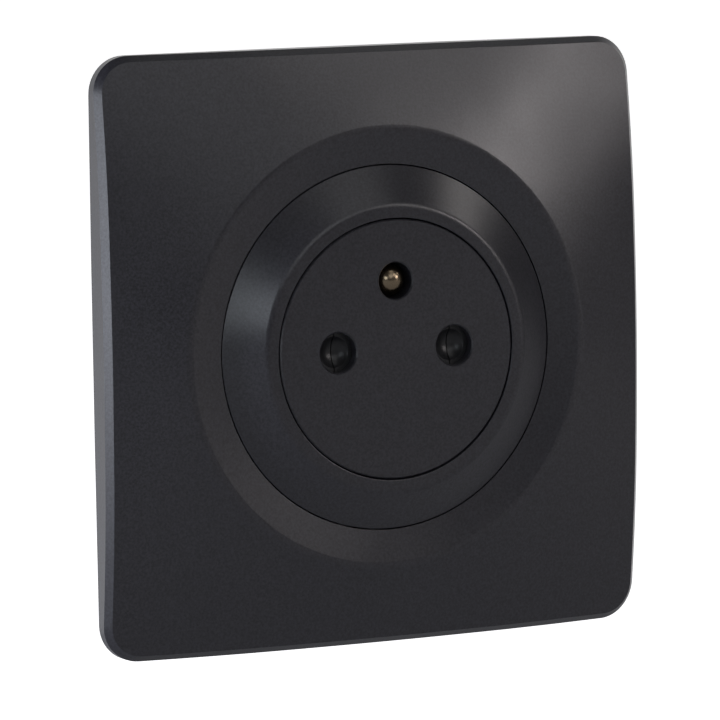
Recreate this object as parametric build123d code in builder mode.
from build123d import *
import os
from math import atan2, cos, degrees, radians, sin, sqrt

os.makedirs("parts", exist_ok=True)

# Flush wall socket with two round contacts and an earth pin. The round face between the contacts
# is sprung: it closes the well flush with its trim ring, and a plug pushes it in.
# Frame: origin in the wall plane behind the centre of the face, +X right, +Z up, room towards -Y.
# Heights are measured from the wall towards the room, so depths inside the wall box are negative.

# Contact layout
pin_pitch = 19.0
plug_pin_r = 2.4
pin_room = 0.55
earth_pin_r = 2.4
earth_room = 0.3

# Moving face
face_gap = 0.18
face_height = 10.25
face_wall = 1.5
face_skirt = 1.6
skirt_past_cover = 0.85
face_edge_bevel = 0.2
hole_bevel = 0.2
face_travel = 14.0
guide_length = 8.9
guide_roof = 1.5
guide_width = 4.0
guide_reach = 1.63
guide_gap = 0.3

# Trim ring
ring_width = 7.55
seam_gap = 0.18
ring_slope = 0.574
ring_wall = 1.6
ring_skirt_gap = 0.2
ring_step_gap = 0.2
ring_crest_round = 1.6
ring_lip = 1.85
ring_rise = 3.25
seam_round = 0.15

# Cover plate
plate_room = 6.45
plate_corner_r = 5.5
side_bow = 0.12
edge_bevel = 0.9
plate_wall = 2.0
dish_width = 5.22
dish_depth = 0.8
crest_round = 2.6
mid_edge_height = 4.9
corner_edge_height = 2.15
collar_wall = 1.5
collar_gap = 0.3

# Mechanism body
body_depth = 30.0
body_corner_r = 6.0
body_wall = 1.8
body_margin = 0.3
flange_reach = 3.5
flange_thick = 2.0
well_wall = 3.05
joint_height = -11.0
core_wall = 1.3

# Support frame
slot_margin = 2.3
frame_margin = 2.5
frame_corner = 8.0
frame_thick = 1.5
frame_clearance = 0.5
slot_width = 3.6
slot_length = 5.2

# Snap clips
clip_width = 8.0
clip_pitch = 24.0
clip_thick = 1.2
clip_tooth = 0.6
clip_rise = 0.2
tooth_height = 0.9
tab_width = 10.0
tab_inset = 0.1
tab_thick = 1.0
tab_lead = 0.6
snap_gap = 0.1
leg_width = 6.0
leg_thick = 1.2
leg_gap = 0.25
leg_hook = 0.9
leg_hook_height = 1.0
hook_gap = 0.05

# Shutters
slide_gap = 0.1
leaf_thick = 2.7
leaf_overlap = 0.35
slit_gap = 0.14
dimple_r = 2.3
dimple_depth = 1.05
bar_height = 2.0
bar_room = 0.7
rail_gap = 0.15
rail_thick = 1.2
cover_thick = 1.5
cover_gap = 0.17
pin_play = 0.2
shutter_spring_r = 1.15
shutter_spring_wire_r = 0.18
shutter_spring_turns = 9
spigot_length = 1.0
shutter_spigot_r = 0.8

# Stakes that hold the shutter cover in the face
stake_r = 0.9
stake_gap = 0.05
stake_head_r = 1.5
stake_head = 0.6
stake_inset = 3.27
stake_angles = [62.5, 117.5, 230.5, 309.5]

# Return springs
spring_angles = {"right": 35, "left": 145, "bottom": 270}
spring_r = 2.0
spring_wire_r = 0.3
spring_turns = 9
spring_post_height = 8.2
spring_post_r = 2.8
spring_cup_gap = 0.3
spring_cup_wall = 0.7
spring_cup_depth = 1.2
spring_cup_inset = 0.7
spring_spigot_r = 1.45
spring_spigot = 1.4
seat_gap = 0.02

# Earth pin
tip_recess = 0.4
earth_dome = 2.15
earth_collar_r = 2.6
earth_collar = 1.5
earth_tenon_r = 1.7
earth_tenon = 3.0
tenon_gap = 0.05
earth_boss_r = 3.2
earth_boss_height = 4.9

# Contacts and terminals
strip = 0.8
contact_room = 0.85
mouth_depth = 3.6
contact_seat_height = 2.4
knee_height = 3.8
contact_width = 6.6
mouth_ease = 0.4
throat_grip = 0.15
base_ease = 0.05
bend_r = 1.0
tab_height = 6.6
tab_lift = 1.0
tab_lap = 1.0
strap_width = 6.4
terminal_height = 8.0
terminal_seat = 2.2
terminal_deep = 7.0
terminal_gap = 0.2
collar_room = 0.9
terminal_drop = 10.2
terminal_wall = 1.0
wire_r = 1.7
wire_ease = 0.1
wire_pitch = 4.2
terminal_screw_r = 1.6
thread_gap = 0.05
terminal_head_r = 2.1
terminal_head = 1.9
head_gap = 0.3
screw_slot = 0.7
slot_turn = 30

# Housing screws
screw_inset = 3.9
housing_screw_r = 1.1
screw_cover = 3.5
screw_bore_end = 1.0
housing_head_r = 2.1
housing_head = 1.7
boss_r = 2.6
partition_gap = 0.3
partition_wall = 1.2
partition_drop = 3.0
partition_shift = 1.5
partition_width = 13.0
contact_seat = 5.0
seat_rib = 1.2

# Values that follow from the sizes above
contact_x = pin_pitch / 2
pin_hole_r = plug_pin_r + pin_room
earth_hole_r = earth_pin_r + earth_room
shutter_travel = plug_pin_r + pin_play
leaf_width = pin_hole_r + leaf_overlap
leaf_half_height = pin_hole_r + leaf_overlap
bar_top = leaf_half_height + slide_gap + bar_height
earth_rise = bar_top + bar_room + rail_thick + earth_hole_r

terminal_inner = earth_rise + earth_collar_r + collar_room
terminal_offset = terminal_inner + terminal_deep / 2
body_side = 2 * (terminal_inner + terminal_deep + terminal_gap + body_wall)
groove_r = body_side / 2 - body_margin - core_wall
guide_r = groove_r - guide_gap
face_r = guide_r - guide_reach
bore_r = face_r + face_gap
well_r = bore_r + well_wall
ring_r = bore_r + ring_width
opening_r = ring_r + seam_gap
crest_r = opening_r + dish_width
dish_height = face_height - ring_rise
crest_height = dish_height + dish_depth
ring_step_r = well_r + ring_step_gap
well_front = face_height - ring_lip
guide_front = well_front - guide_roof
guide_foot = guide_front - guide_length
face_inner_r = face_r - face_skirt

body_rear = -body_depth
body_floor = body_rear + body_wall
flange_side = body_side + 2 * flange_reach
flange_front = frame_thick + flange_thick
hollow_front = flange_front - 2 * flange_thick
collar_foot = flange_front + collar_gap
ring_skirt_foot = flange_front + ring_skirt_gap
leg_inner = body_side / 2 + leg_gap
leg_foot = frame_thick - hook_gap - leg_hook_height
leg_notch = leg_inner + leg_thick + leg_hook + leg_gap
screw_pitch = 2 * (leg_notch + slot_margin + slot_length / 2)

tab_offset = crest_r - tab_inset
frame_side = 2 * (tab_offset + tab_thick + frame_margin)
frame_opening = body_side / 2 + frame_clearance
plate_side = frame_side + 2 * (plate_room + plate_wall)
plate_half = plate_side / 2
mid_slope = (crest_height - mid_edge_height) / (plate_half - edge_bevel - crest_r)
clip_face = tab_offset + tab_thick + clip_tooth + snap_gap
clip_foot = frame_thick + clip_rise
tab_tooth_foot = clip_foot + tooth_height + snap_gap
tab_top = tab_tooth_foot + tooth_height + tab_lead

leaf_front = face_height - face_wall - slide_gap
leaf_back = leaf_front - leaf_thick
leaf_middle = (leaf_front + leaf_back) / 2
rail_half_length = contact_x + slit_gap / 2 + leaf_width + shutter_travel
dimple_ball_r = (dimple_r**2 + dimple_depth**2) / (2 * dimple_depth)
cover_front = leaf_back - slide_gap
cover_back = cover_front - cover_thick
face_skirt_foot = cover_back - skirt_past_cover
stake_circle_r = face_inner_r - stake_inset
stakes = [
    (stake_circle_r * cos(radians(angle)), stake_circle_r * sin(radians(angle))) for angle in stake_angles
]

cup_r = spring_r + spring_wire_r + spring_cup_gap
spring_circle_r = face_inner_r - cover_gap - spring_cup_inset - spring_cup_wall - cup_r
spring_post_top = body_floor + spring_post_height

earth_tip_height = face_height - tip_recess
strap_back = body_floor + earth_boss_height
earth_collar_top = strap_back + strip + earth_collar
contact_mouth = cover_back - spring_spigot - face_travel - contact_room
contact_throat = contact_mouth - mouth_depth
contact_base = body_floor + contact_seat_height
contact_knee = contact_base + knee_height
mouth_half = plug_pin_r + strip / 2 + mouth_ease
throat_half = plug_pin_r + strip / 2 - throat_grip
base_half = plug_pin_r + strip / 2 + base_ease
partition_half = contact_x - mouth_half - strip / 2 - partition_gap - partition_wall / 2
partition_top = joint_height - partition_drop

terminal_rear = body_floor + terminal_seat
terminal_front = terminal_rear + terminal_height
terminal_middle = (terminal_front + terminal_rear) / 2
wire_slot = wire_pitch + 2 * (wire_r - wire_ease)
terminal_wide = wire_slot + 2 * terminal_wall
screw_corner = body_side / 2 - screw_inset
screw_places = [(-screw_corner, screw_corner), (screw_corner, -screw_corner)]
housing_screw_top = hollow_front - screw_cover
spring_places = {
    name: (spring_circle_r * cos(radians(angle)), spring_circle_r * sin(radians(angle)))
    for name, angle in spring_angles.items()
}
# Each terminal: its centre as (x, z) and the way its screw faces
terminals = {
    "live": ((terminal_offset, -terminal_drop), (1, 0)),
    "neutral": ((-terminal_offset, -terminal_drop), (-1, 0)),
    "earth": ((0, terminal_offset), (0, 1)),
}


def at(height):
    """Plane parallel to the wall at a height, with X to the right and Z up."""
    return Plane.XZ.offset(height)


def revolved(points, mode=Mode.ADD, x=0, z=0):
    """Solid turned from (radius, height) points about the line through x and z that faces the room."""
    with BuildSketch(Plane(origin=(x, 0, z))) as section:
        with BuildLine():
            Polyline(*[(radius, -height) for radius, height in points], close=True)
        make_face()
    revolve(section.sketch, axis=Axis((x, 0, z), (0, 1, 0)), mode=mode)


def terminal_plane(name, reach):
    """Plane facing the way a terminal's screw does, at a distance from the terminal's centre."""
    (x, z), (right, up) = terminals[name]
    origin = (x + right * reach, -terminal_middle, z + up * reach)
    return Plane(origin=origin, x_dir=(0, -1, 0), z_dir=(right, 0, up))


def face_form(drop):
    """Body under the plate's front: straight rulings from the dish crest to a rounded square."""
    top = crest_height - drop
    corner_run = sqrt(2) * (plate_half - edge_bevel) - crest_r
    corner_slope = (crest_height - corner_edge_height) / corner_run
    half = crest_r + top / mid_slope
    diagonal = crest_r + top / corner_slope
    radius = (sqrt(2) * half - diagonal) / (sqrt(2) - 1)
    turn = degrees(atan2(half - radius, half))
    with BuildPart() as form:
        with BuildSketch(at(0)):
            RectangleRounded(2 * half, 2 * half, radius)
        with BuildSketch(at(top)):
            with BuildLine():
                for quarter in range(4):
                    CenterArc((0, 0), crest_r, 90 * quarter - turn, 2 * turn)
                    CenterArc((0, 0), crest_r, 90 * quarter + turn, 90 - 2 * turn)
            make_face()
        loft(ruled=True)
    return form.part


def plate_outline(inset):
    """Square outline with slightly bowed sides and round corners, moved in by inset."""
    side = plate_half - inset
    corner = side - side_bow
    with BuildSketch(at(0)) as outline:
        with BuildLine():
            ThreePointArc((-corner, -corner), (0, -side), (corner, -corner))
            ThreePointArc((corner, -corner), (side, 0), (corner, corner))
            ThreePointArc((corner, corner), (0, side), (-corner, corner))
            ThreePointArc((-corner, corner), (-side, 0), (-corner, -corner))
        make_face()
        fillet(outline.vertices(), plate_corner_r - inset)
    return outline.sketch


# Cover plate: bevelled square shell with a shallow dished band round its opening
with BuildPart() as cavity:
    extrude(plate_outline(plate_wall), amount=crest_height)
    add(face_form(plate_wall), mode=Mode.INTERSECT)

with BuildPart() as cover_plate:
    extrude(plate_outline(0), amount=crest_height)
    add(face_form(0), mode=Mode.INTERSECT)
    outer = cover_plate.edges().filter_by(Axis.Y, reverse=True)
    outer = outer.filter_by(
        lambda edge: max(abs(edge.center().X), abs(edge.center().Z)) > plate_half - plate_corner_r / 2
    )
    chamfer(outer.filter_by(lambda edge: edge.center().Y < -corner_edge_height / 2), edge_bevel)
    add(cavity.part, mode=Mode.SUBTRACT)
    with BuildSketch(at(collar_foot)):
        Circle(opening_r + collar_wall)
    extrude(amount=dish_height - plate_wall / 2 - collar_foot)
    revolved(
        [
            (0, face_height),
            (crest_r, face_height),
            (crest_r, crest_height),
            (opening_r, dish_height),
            (opening_r, 0),
            (0, 0),
        ],
        mode=Mode.SUBTRACT,
    )
    crest_line = cover_plate.edges().filter_by(lambda edge: abs(edge.center().Y + crest_height) < 0.01)
    fillet(crest_line, crest_round)
    clip_reach = sqrt(clip_face**2 + clip_pitch**2 / 4)
    arm_top = crest_height - plate_wall / 2 - mid_slope * (clip_reach - crest_r)
    for side in (-1, 1):
        for place in (-clip_pitch / 2, clip_pitch / 2):
            with BuildSketch(at(clip_foot)):
                with Locations((place, side * (clip_face + clip_thick / 2))):
                    Rectangle(clip_width, clip_thick)
            extrude(amount=arm_top - clip_foot)
            with BuildSketch(at(clip_foot)):
                with Locations((place, side * (clip_face - clip_tooth / 2))):
                    Rectangle(clip_width, clip_tooth)
            extrude(amount=tooth_height)
cover_plate.part.label = "cover_plate"
export_step(cover_plate.part, "parts/cover_plate.step")


# Trim ring: shallow cone round the moving face, snapped to the well by four legs
with BuildPart() as trim_ring:
    crest = ring_r - (face_height - dish_height) / ring_slope
    wall_drop = ring_wall * sqrt(1 + ring_slope**2)
    skirt_inner = ring_r - ring_wall
    revolved(
        [
            (bore_r, face_height),
            (crest, face_height),
            (ring_r, dish_height),
            (ring_r, ring_skirt_foot),
            (skirt_inner, ring_skirt_foot),
            (skirt_inner, dish_height - wall_drop + (ring_r - skirt_inner) * ring_slope),
            (ring_step_r, dish_height - wall_drop + (ring_r - ring_step_r) * ring_slope),
            (ring_step_r, well_front),
            (bore_r, well_front),
        ]
    )
    circles = trim_ring.edges().filter_by(GeomType.CIRCLE)
    fillet(circles.filter_by(lambda edge: abs(edge.radius - crest) < 0.01), ring_crest_round)
    circles = trim_ring.edges().filter_by(GeomType.CIRCLE)
    front = circles.filter_by(lambda edge: abs(edge.center().Y + face_height) < 0.01)
    fillet(front.sort_by(SortBy.RADIUS)[0], face_edge_bevel)
    circles = trim_ring.edges().filter_by(GeomType.CIRCLE)
    seam = circles.filter_by(lambda edge: abs(edge.center().Y + dish_height) < 0.01)
    fillet(seam.sort_by(SortBy.RADIUS)[-1], seam_round)
    for angle in range(0, 360, 90):
        with BuildSketch(at(leg_foot)):
            with PolarLocations(leg_inner + leg_thick / 2, 1, angle):
                Rectangle(leg_thick, leg_width)
        extrude(amount=well_front - leg_foot)
        with BuildSketch(at(leg_foot)):
            with PolarLocations(leg_inner + leg_thick + leg_hook / 2, 1, angle):
                Rectangle(leg_hook, leg_width)
        extrude(amount=leg_hook_height)
trim_ring.part.label = "trim_ring"
export_step(trim_ring.part, "parts/trim_ring.step")


# Support frame: flat plate on the wall with four slots for the box screws
with BuildPart() as support_frame:
    with BuildSketch(at(0)) as sheet:
        Rectangle(frame_side, frame_side)
        chamfer(sheet.vertices(), frame_corner)
        RectangleRounded(2 * frame_opening, 2 * frame_opening, body_corner_r, mode=Mode.SUBTRACT)
        with PolarLocations(leg_notch / 2, 4):
            Rectangle(leg_notch, leg_width + 4 * leg_gap, mode=Mode.SUBTRACT)
        with PolarLocations(screw_pitch / 2, 4):
            SlotOverall(slot_length, slot_width, mode=Mode.SUBTRACT)
    extrude(amount=frame_thick)
    for side in (-1, 1):
        for place in (-clip_pitch / 2, clip_pitch / 2):
            with BuildSketch(at(frame_thick)):
                with Locations((place, side * (tab_offset + tab_thick / 2))):
                    Rectangle(tab_width, tab_thick)
            extrude(amount=tab_top - frame_thick)
            with BuildSketch(at(tab_tooth_foot)):
                with Locations((place, side * (tab_offset + tab_thick + clip_tooth / 2))):
                    Rectangle(tab_width, clip_tooth)
            extrude(amount=tooth_height)
support_frame.part.label = "support_frame"
export_step(support_frame.part, "parts/support_frame.step")


def corner_bosses():
    """Square-backed rounds at the two screw corners, for a sketch of the body's hollow."""
    with Locations(*screw_places):
        Circle(boss_r, mode=Mode.SUBTRACT)
        Rectangle(boss_r, 2 * boss_r, mode=Mode.SUBTRACT)
        Rectangle(2 * boss_r, boss_r, mode=Mode.SUBTRACT)


# Well: round guide for the moving face, with a flange that sits on the support frame
with BuildPart() as well_housing:
    with BuildSketch(at(joint_height)):
        RectangleRounded(body_side, body_side, body_corner_r)
    extrude(amount=frame_thick - joint_height)
    with BuildSketch(at(frame_thick)):
        RectangleRounded(flange_side, flange_side, body_corner_r)
        with PolarLocations(leg_inner + leg_thick / 2, 4):
            Rectangle(leg_thick + 2 * snap_gap, leg_width + 2 * snap_gap, mode=Mode.SUBTRACT)
    extrude(amount=flange_thick)
    with BuildSketch(at(flange_front)):
        Circle(well_r)
    extrude(amount=well_front - flange_front)
    with BuildSketch(at(joint_height)):
        RectangleRounded(body_side - 2 * body_wall, body_side - 2 * body_wall, body_corner_r - body_wall)
        Circle(groove_r + core_wall, mode=Mode.SUBTRACT)
        corner_bosses()
    extrude(amount=hollow_front - joint_height, mode=Mode.SUBTRACT)
    with BuildSketch(at(joint_height)):
        Circle(bore_r)
    extrude(amount=well_front - joint_height, mode=Mode.SUBTRACT)
    with BuildSketch(at(joint_height)):
        with PolarLocations(groove_r / 2, 4, 45):
            Rectangle(groove_r, guide_width + 2 * guide_gap)
    extrude(amount=guide_front + seat_gap - joint_height, mode=Mode.SUBTRACT)
    with BuildSketch(at(joint_height)):
        with Locations(*screw_places):
            Circle(housing_screw_r + thread_gap)
    extrude(amount=housing_screw_top + screw_bore_end - joint_height, mode=Mode.SUBTRACT)
well_housing.part.label = "well_housing"
export_step(well_housing.part, "parts/well_housing.step")


# Rear housing: box that carries the contacts, terminals and spring posts
with BuildPart() as rear_housing:
    with BuildSketch(at(body_rear)):
        RectangleRounded(body_side, body_side, body_corner_r)
    extrude(amount=joint_height - body_rear)
    with BuildSketch(at(body_floor)):
        RectangleRounded(body_side - 2 * body_wall, body_side - 2 * body_wall, body_corner_r - body_wall)
        corner_bosses()
    extrude(amount=joint_height - body_floor, mode=Mode.SUBTRACT)
    with BuildSketch(at(body_floor)):
        with Locations(*spring_places.values()):
            Circle(spring_post_r)
    extrude(amount=spring_post_top - body_floor)
    with BuildSketch(at(spring_post_top)):
        with Locations(*spring_places.values()):
            Circle(spring_spigot_r)
    extrude(amount=spring_spigot)
    with BuildSketch(at(body_floor)):
        with Locations((-partition_half, -partition_shift), (partition_half, -partition_shift)):
            Rectangle(partition_wall, partition_width)
    extrude(amount=partition_top - body_floor)
    with BuildSketch(at(body_floor)):
        with Locations((-contact_x, 0), (contact_x, 0)):
            Rectangle(contact_seat, contact_seat)
    extrude(amount=contact_base - body_floor)
    with BuildSketch(at(body_floor)):
        with Locations((0, earth_rise)):
            Circle(earth_boss_r)
            Circle(earth_tenon_r + tenon_gap, mode=Mode.SUBTRACT)
    extrude(amount=strap_back - body_floor)
    rib_reach = terminal_wide / 2 - seat_rib / 2
    for name in terminals:
        with BuildSketch(terminal_plane(name, -terminal_deep / 2)):
            with Locations((body_floor - terminal_middle + (terminal_rear - body_floor) / 2, 0)):
                with Locations((0, -rib_reach), (0, rib_reach)):
                    Rectangle(terminal_rear - body_floor, seat_rib)
        extrude(amount=terminal_deep)
        with BuildSketch(terminal_plane(name, body_side / 2 - terminal_offset)):
            Circle(terminal_head_r + head_gap)
        extrude(amount=-body_wall, mode=Mode.SUBTRACT)
        (x, z), (right, up) = terminals[name]
        for half_pitch in (-wire_pitch / 2, wire_pitch / 2):
            with BuildSketch(at(body_rear)):
                with Locations((x + up * half_pitch, z + right * half_pitch)):
                    Circle(wire_r)
            extrude(amount=body_wall, mode=Mode.SUBTRACT)
    with BuildSketch(at(body_rear)):
        with Locations(*screw_places):
            Circle(housing_screw_r + head_gap)
    extrude(amount=joint_height - body_rear, mode=Mode.SUBTRACT)
    with BuildSketch(at(body_rear)):
        with Locations(*screw_places):
            Circle(housing_head_r + head_gap)
    extrude(amount=housing_head + head_gap, mode=Mode.SUBTRACT)
rear_housing.part.label = "rear_housing"
export_step(rear_housing.part, "parts/rear_housing.step")


# Two screws that hold the rear housing to the well, heads sunk in the rear face
with BuildPart() as housing_screws:
    head_rear = body_rear + head_gap
    for x, z in screw_places:
        revolved(
            [
                (0, head_rear),
                (housing_head_r, head_rear),
                (housing_head_r, head_rear + housing_head),
                (housing_screw_r, head_rear + housing_head),
                (housing_screw_r, housing_screw_top),
                (0, housing_screw_top),
            ],
            x=x,
            z=z,
        )
    with BuildSketch(at(head_rear)):
        with Locations(*screw_places):
            Rectangle(2 * housing_head_r, screw_slot, rotation=slot_turn)
    extrude(amount=screw_slot, mode=Mode.SUBTRACT)
housing_screws.part.label = "housing_screws"
export_step(housing_screws.part, "parts/housing_screws.step")


# Earth pin: domed pin riveted through the earth strap into the rear housing
with BuildPart() as earth_pin:
    shoulder = earth_tip_height - earth_dome
    with BuildSketch(Plane(origin=(0, 0, earth_rise))) as half_section:
        with BuildLine():
            EllipticalCenterArc((0, -shoulder), earth_pin_r, earth_dome, start_angle=270, arc_size=90)
            Polyline(
                (earth_pin_r, -shoulder),
                (earth_pin_r, -earth_collar_top),
                (earth_collar_r, -earth_collar_top),
                (earth_collar_r, earth_collar - earth_collar_top),
                (earth_tenon_r, earth_collar - earth_collar_top),
                (earth_tenon_r, earth_collar + earth_tenon - earth_collar_top),
                (0, earth_collar + earth_tenon - earth_collar_top),
                (0, -earth_tip_height),
            )
        make_face()
    revolve(axis=Axis((0, 0, earth_rise), (0, 1, 0)))
earth_pin.part.label = "earth_pin"
export_step(earth_pin.part, "parts/earth_pin.step")


# Earth strap: bent strip from the pin's collar to the side of the earth terminal
with BuildPart() as earth_strap:
    strap_foot = earth_rise - earth_collar_r - strip
    with BuildSketch(at(strap_back)):
        with Locations((0, (strap_foot + terminal_inner) / 2)):
            Rectangle(strap_width, terminal_inner - strap_foot)
        with Locations((0, earth_rise)):
            Circle(earth_tenon_r + tenon_gap, mode=Mode.SUBTRACT)
    extrude(amount=strip)
    with BuildSketch(at(strap_back)):
        with Locations((0, terminal_inner - strip / 2)):
            Rectangle(strap_width, strip)
    extrude(amount=terminal_front - strip - strap_back)
earth_strap.part.label = "earth_strap"
export_step(earth_strap.part, "parts/earth_strap.step")


# Live and neutral contacts: sprung fork round the plug pin, with a bent tab to its terminal
for name, side in (("contact_live", 1), ("contact_neutral", -1)):
    with BuildPart() as contact:
        with BuildSketch(Plane.XY.offset(-contact_width / 2)):
            with BuildLine(mode=Mode.PRIVATE) as fork:
                FilletPolyline(
                    (contact_x - mouth_half, -contact_mouth),
                    (contact_x - throat_half, -contact_throat),
                    (contact_x - base_half, -contact_knee),
                    (contact_x - base_half, -contact_base - strip / 2),
                    (contact_x + base_half, -contact_base - strip / 2),
                    (contact_x + base_half, -contact_knee),
                    (contact_x + throat_half, -contact_throat),
                    (contact_x + mouth_half, -contact_mouth),
                    radius=bend_r,
                )
            trace(fork.line, line_width=strip)
        extrude(amount=contact_width)
        tab_foot = -terminal_drop - terminal_wide / 2 + tab_lift
        tab_head = tab_lap - contact_width / 2
        with BuildSketch(at(contact_base)):
            with Locations(((contact_x - tab_lap + terminal_inner) / 2, (tab_foot + tab_head) / 2)):
                Rectangle(terminal_inner - contact_x + tab_lap, tab_head - tab_foot)
        extrude(amount=strip)
        with BuildSketch(at(contact_base)):
            with Locations((terminal_inner - strip / 2, tab_foot + tab_height / 2)):
                Rectangle(strip, tab_height)
        extrude(amount=terminal_front - strip - contact_base)
        if side < 0:
            mirror(about=Plane.YZ, mode=Mode.REPLACE)
    contact.part.label = name
    export_step(contact.part, f"parts/{name}.step")


# Screw terminals: a block with a wide slot for two wires, and the screw that clamps them
for name in terminals:
    (x, z), (right, up) = terminals[name]
    with BuildPart() as terminal:
        with BuildSketch(terminal_plane(name, -terminal_deep / 2)):
            Rectangle(terminal_front - terminal_rear, terminal_wide)
        extrude(amount=terminal_deep)
        with BuildSketch(at(terminal_rear)):
            with Locations((x, z)):
                SlotOverall(wire_slot, 2 * (wire_r - wire_ease), rotation=90 * right)
        extrude(amount=terminal_front - terminal_rear, mode=Mode.SUBTRACT)
        with BuildSketch(terminal_plane(name, terminal_deep / 2)):
            Circle(terminal_screw_r + thread_gap)
        extrude(amount=-terminal_deep / 2, mode=Mode.SUBTRACT)
    terminal.part.label = f"terminal_{name}"
    export_step(terminal.part, f"parts/terminal_{name}.step")

    with BuildPart() as terminal_screw:
        with BuildSketch(terminal_plane(name, terminal_deep / 2)):
            Circle(terminal_head_r)
        extrude(amount=terminal_head)
        with BuildSketch(terminal_plane(name, terminal_deep / 2)):
            Circle(terminal_screw_r)
        extrude(amount=wire_r - terminal_deep / 2)
        with BuildSketch(terminal_plane(name, terminal_deep / 2 + terminal_head)):
            Rectangle(2 * terminal_head_r, screw_slot)
        extrude(amount=-screw_slot, mode=Mode.SUBTRACT)
    terminal_screw.part.label = f"terminal_screw_{name}"
    export_step(terminal_screw.part, f"parts/terminal_screw_{name}.step")


# Moving face: round cup with the three contact holes, sliding on four guide ribs
with BuildPart() as face_disc:
    with BuildSketch(at(face_skirt_foot)):
        Circle(face_r)
    extrude(amount=face_height - face_skirt_foot)
    rim = face_disc.edges().filter_by(GeomType.CIRCLE).sort_by(Axis.Y)[0]
    chamfer(rim, face_edge_bevel)
    with BuildSketch(at(face_skirt_foot)):
        Circle(face_inner_r)
    extrude(amount=face_height - face_wall - face_skirt_foot, mode=Mode.SUBTRACT)
    with BuildSketch(at(guide_foot)):
        with PolarLocations((face_inner_r + guide_r) / 2, 4, 45):
            Rectangle(guide_r - face_inner_r, guide_width)
    extrude(amount=guide_front - guide_foot)
    with BuildSketch(at(cover_front)):
        rail_middle = bar_top + rail_gap + rail_thick / 2
        with Locations((0, -rail_middle), (0, rail_middle)):
            Rectangle(2 * rail_half_length, rail_thick)
        with Locations((0, earth_rise)):
            Circle(earth_hole_r + rail_thick)
    extrude(amount=face_height - face_wall - cover_front)
    with BuildSketch(at(cover_back - stake_head)):
        with Locations(*stakes):
            Circle(stake_r)
    extrude(amount=face_height - face_wall - cover_back + stake_head)
    with BuildSketch(at(cover_back - stake_head)):
        with Locations(*stakes):
            Circle(stake_head_r)
    extrude(amount=stake_head)
    with BuildSketch(at(cover_front)):
        with Locations((0, earth_rise)):
            Circle(earth_hole_r)
    extrude(amount=face_height - cover_front, mode=Mode.SUBTRACT)
    with BuildSketch(at(face_height - face_wall)):
        with Locations((-contact_x, 0), (contact_x, 0)):
            Circle(pin_hole_r)
    extrude(amount=face_wall, mode=Mode.SUBTRACT)
    mouths = face_disc.edges().filter_by(GeomType.CIRCLE)
    mouths = mouths.filter_by(lambda edge: abs(edge.center().Y + face_height) < 0.01)
    chamfer(mouths.filter_by(lambda edge: edge.radius < face_r / 2), hole_bevel)
face_disc.part.label = "face_disc"
export_step(face_disc.part, "parts/face_disc.step")


# Shutter cover: closes the shutters' chamber and takes the return springs
with BuildPart() as shutter_cover:
    with BuildSketch(at(cover_back)):
        Circle(face_inner_r - cover_gap)
    extrude(amount=cover_thick)
    with BuildSketch(at(cover_back - spring_cup_depth)):
        with Locations(*spring_places.values()):
            Circle(cup_r + spring_cup_wall)
            Circle(cup_r, mode=Mode.SUBTRACT)
    extrude(amount=spring_cup_depth)
    with BuildSketch(at(cover_back - spring_spigot)):
        with Locations(*spring_places.values()):
            Circle(spring_spigot_r)
    extrude(amount=spring_spigot)
    with BuildSketch(at(cover_back)):
        with Locations(*stakes):
            Circle(stake_r + stake_gap)
        with Locations((-contact_x, 0), (contact_x, 0)):
            Circle(pin_hole_r)
        with Locations((0, earth_rise)):
            Circle(earth_hole_r)
    extrude(amount=cover_thick, mode=Mode.SUBTRACT)
shutter_cover.part.label = "shutter_cover"
export_step(shutter_cover.part, "parts/shutter_cover.step")


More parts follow.
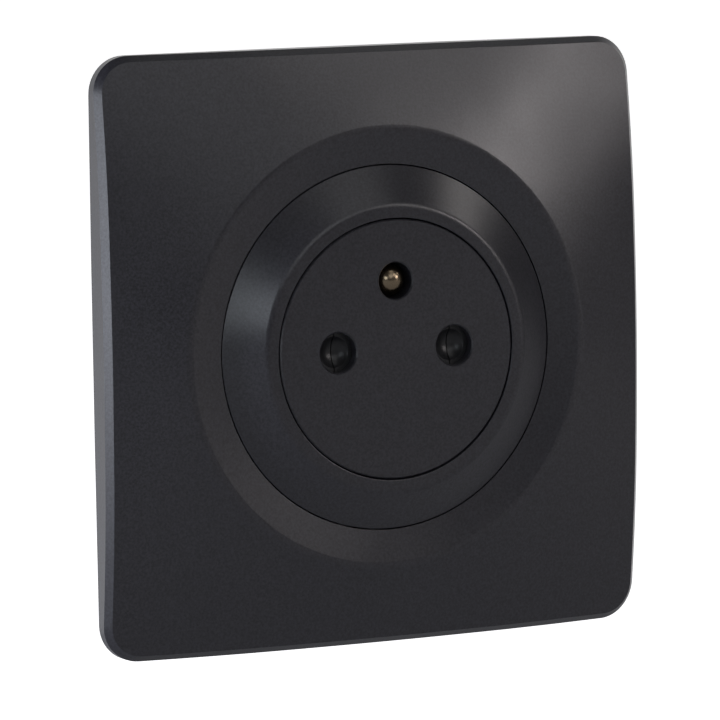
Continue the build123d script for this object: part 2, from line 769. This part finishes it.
# Shutter slides: two combs that meet on a slit across each contact hole. Each covers one half
# of both holes, with a dimple that a plug pin spreads. The lower one is the upper one turned over.
with BuildPart() as shutter_slide_upper:
    slit_edges = [-contact_x - slit_gap / 2, contact_x - slit_gap / 2]
    leaf_top = bar_top - bar_height
    with BuildSketch(at(leaf_back)):
        for edge in slit_edges:
            with Locations((edge - leaf_width / 2, (leaf_top - leaf_half_height) / 2)):
                Rectangle(leaf_width, leaf_top + leaf_half_height)
        with Locations(((sum(slit_edges) - leaf_width) / 2, bar_top - bar_height / 2)):
            Rectangle(slit_edges[1] - slit_edges[0] + leaf_width, bar_height)
    extrude(amount=leaf_thick)
    with Locations(*[(x, dimple_depth - leaf_front - dimple_ball_r, 0) for x in (-contact_x, contact_x)]):
        Sphere(dimple_ball_r, mode=Mode.SUBTRACT)
    seat_plane = Plane(origin=(slit_edges[1] - leaf_width, -leaf_middle, 0), z_dir=(-1, 0, 0))
    with BuildSketch(seat_plane):
        Circle(shutter_spigot_r)
    extrude(amount=spigot_length)
shutter_slide_upper.part.label = "shutter_slide_upper"
export_step(shutter_slide_upper.part, "parts/shutter_slide_upper.step")

with BuildPart() as shutter_slide_lower:
    add(shutter_slide_upper.part, rotation=(0, 180, 0))
shutter_slide_lower.part.label = "shutter_slide_lower"
export_step(shutter_slide_lower.part, "parts/shutter_slide_lower.step")


def coil(start, direction, length, radius, wire_r, turns):
    """Round wire wound as a helix from start, its outer ends length apart."""
    height = length - 2 * wire_r
    first = Vector(start) + Vector(direction) * wire_r
    with BuildPart() as spring:
        with BuildLine() as path:
            Helix(height / turns, height, radius, center=first, direction=direction)
        with BuildSketch(Plane(origin=path.line @ 0, z_dir=path.line % 0)):
            Circle(wire_r)
        sweep(is_frenet=True)
    return spring.part


# Shutter spring: pushes the two slides together at rest
spring_half = contact_x - slit_gap / 2 - leaf_width
shutter_spring_seat = (seat_gap - spring_half, -leaf_middle, 0)
shutter_spring_length = 2 * (spring_half - seat_gap)
with BuildPart() as shutter_spring:
    add(
        coil(
            shutter_spring_seat,
            (1, 0, 0),
            shutter_spring_length,
            shutter_spring_r,
            shutter_spring_wire_r,
            shutter_spring_turns,
        )
    )
shutter_spring.part.label = "shutter_spring"
export_step(shutter_spring.part, "parts/shutter_spring.step")


# Return springs: three coils from the posts to the cups behind the moving face
spring_length = cover_back - spring_post_top - 2 * seat_gap
for name, (x, z) in spring_places.items():
    foot = (x, -spring_post_top - seat_gap, z)
    with BuildPart() as return_spring:
        add(coil(foot, (0, -1, 0), spring_length, spring_r, spring_wire_r, spring_turns))
    return_spring.part.label = f"return_spring_{name}"
    export_step(return_spring.part, f"parts/return_spring_{name}.step")
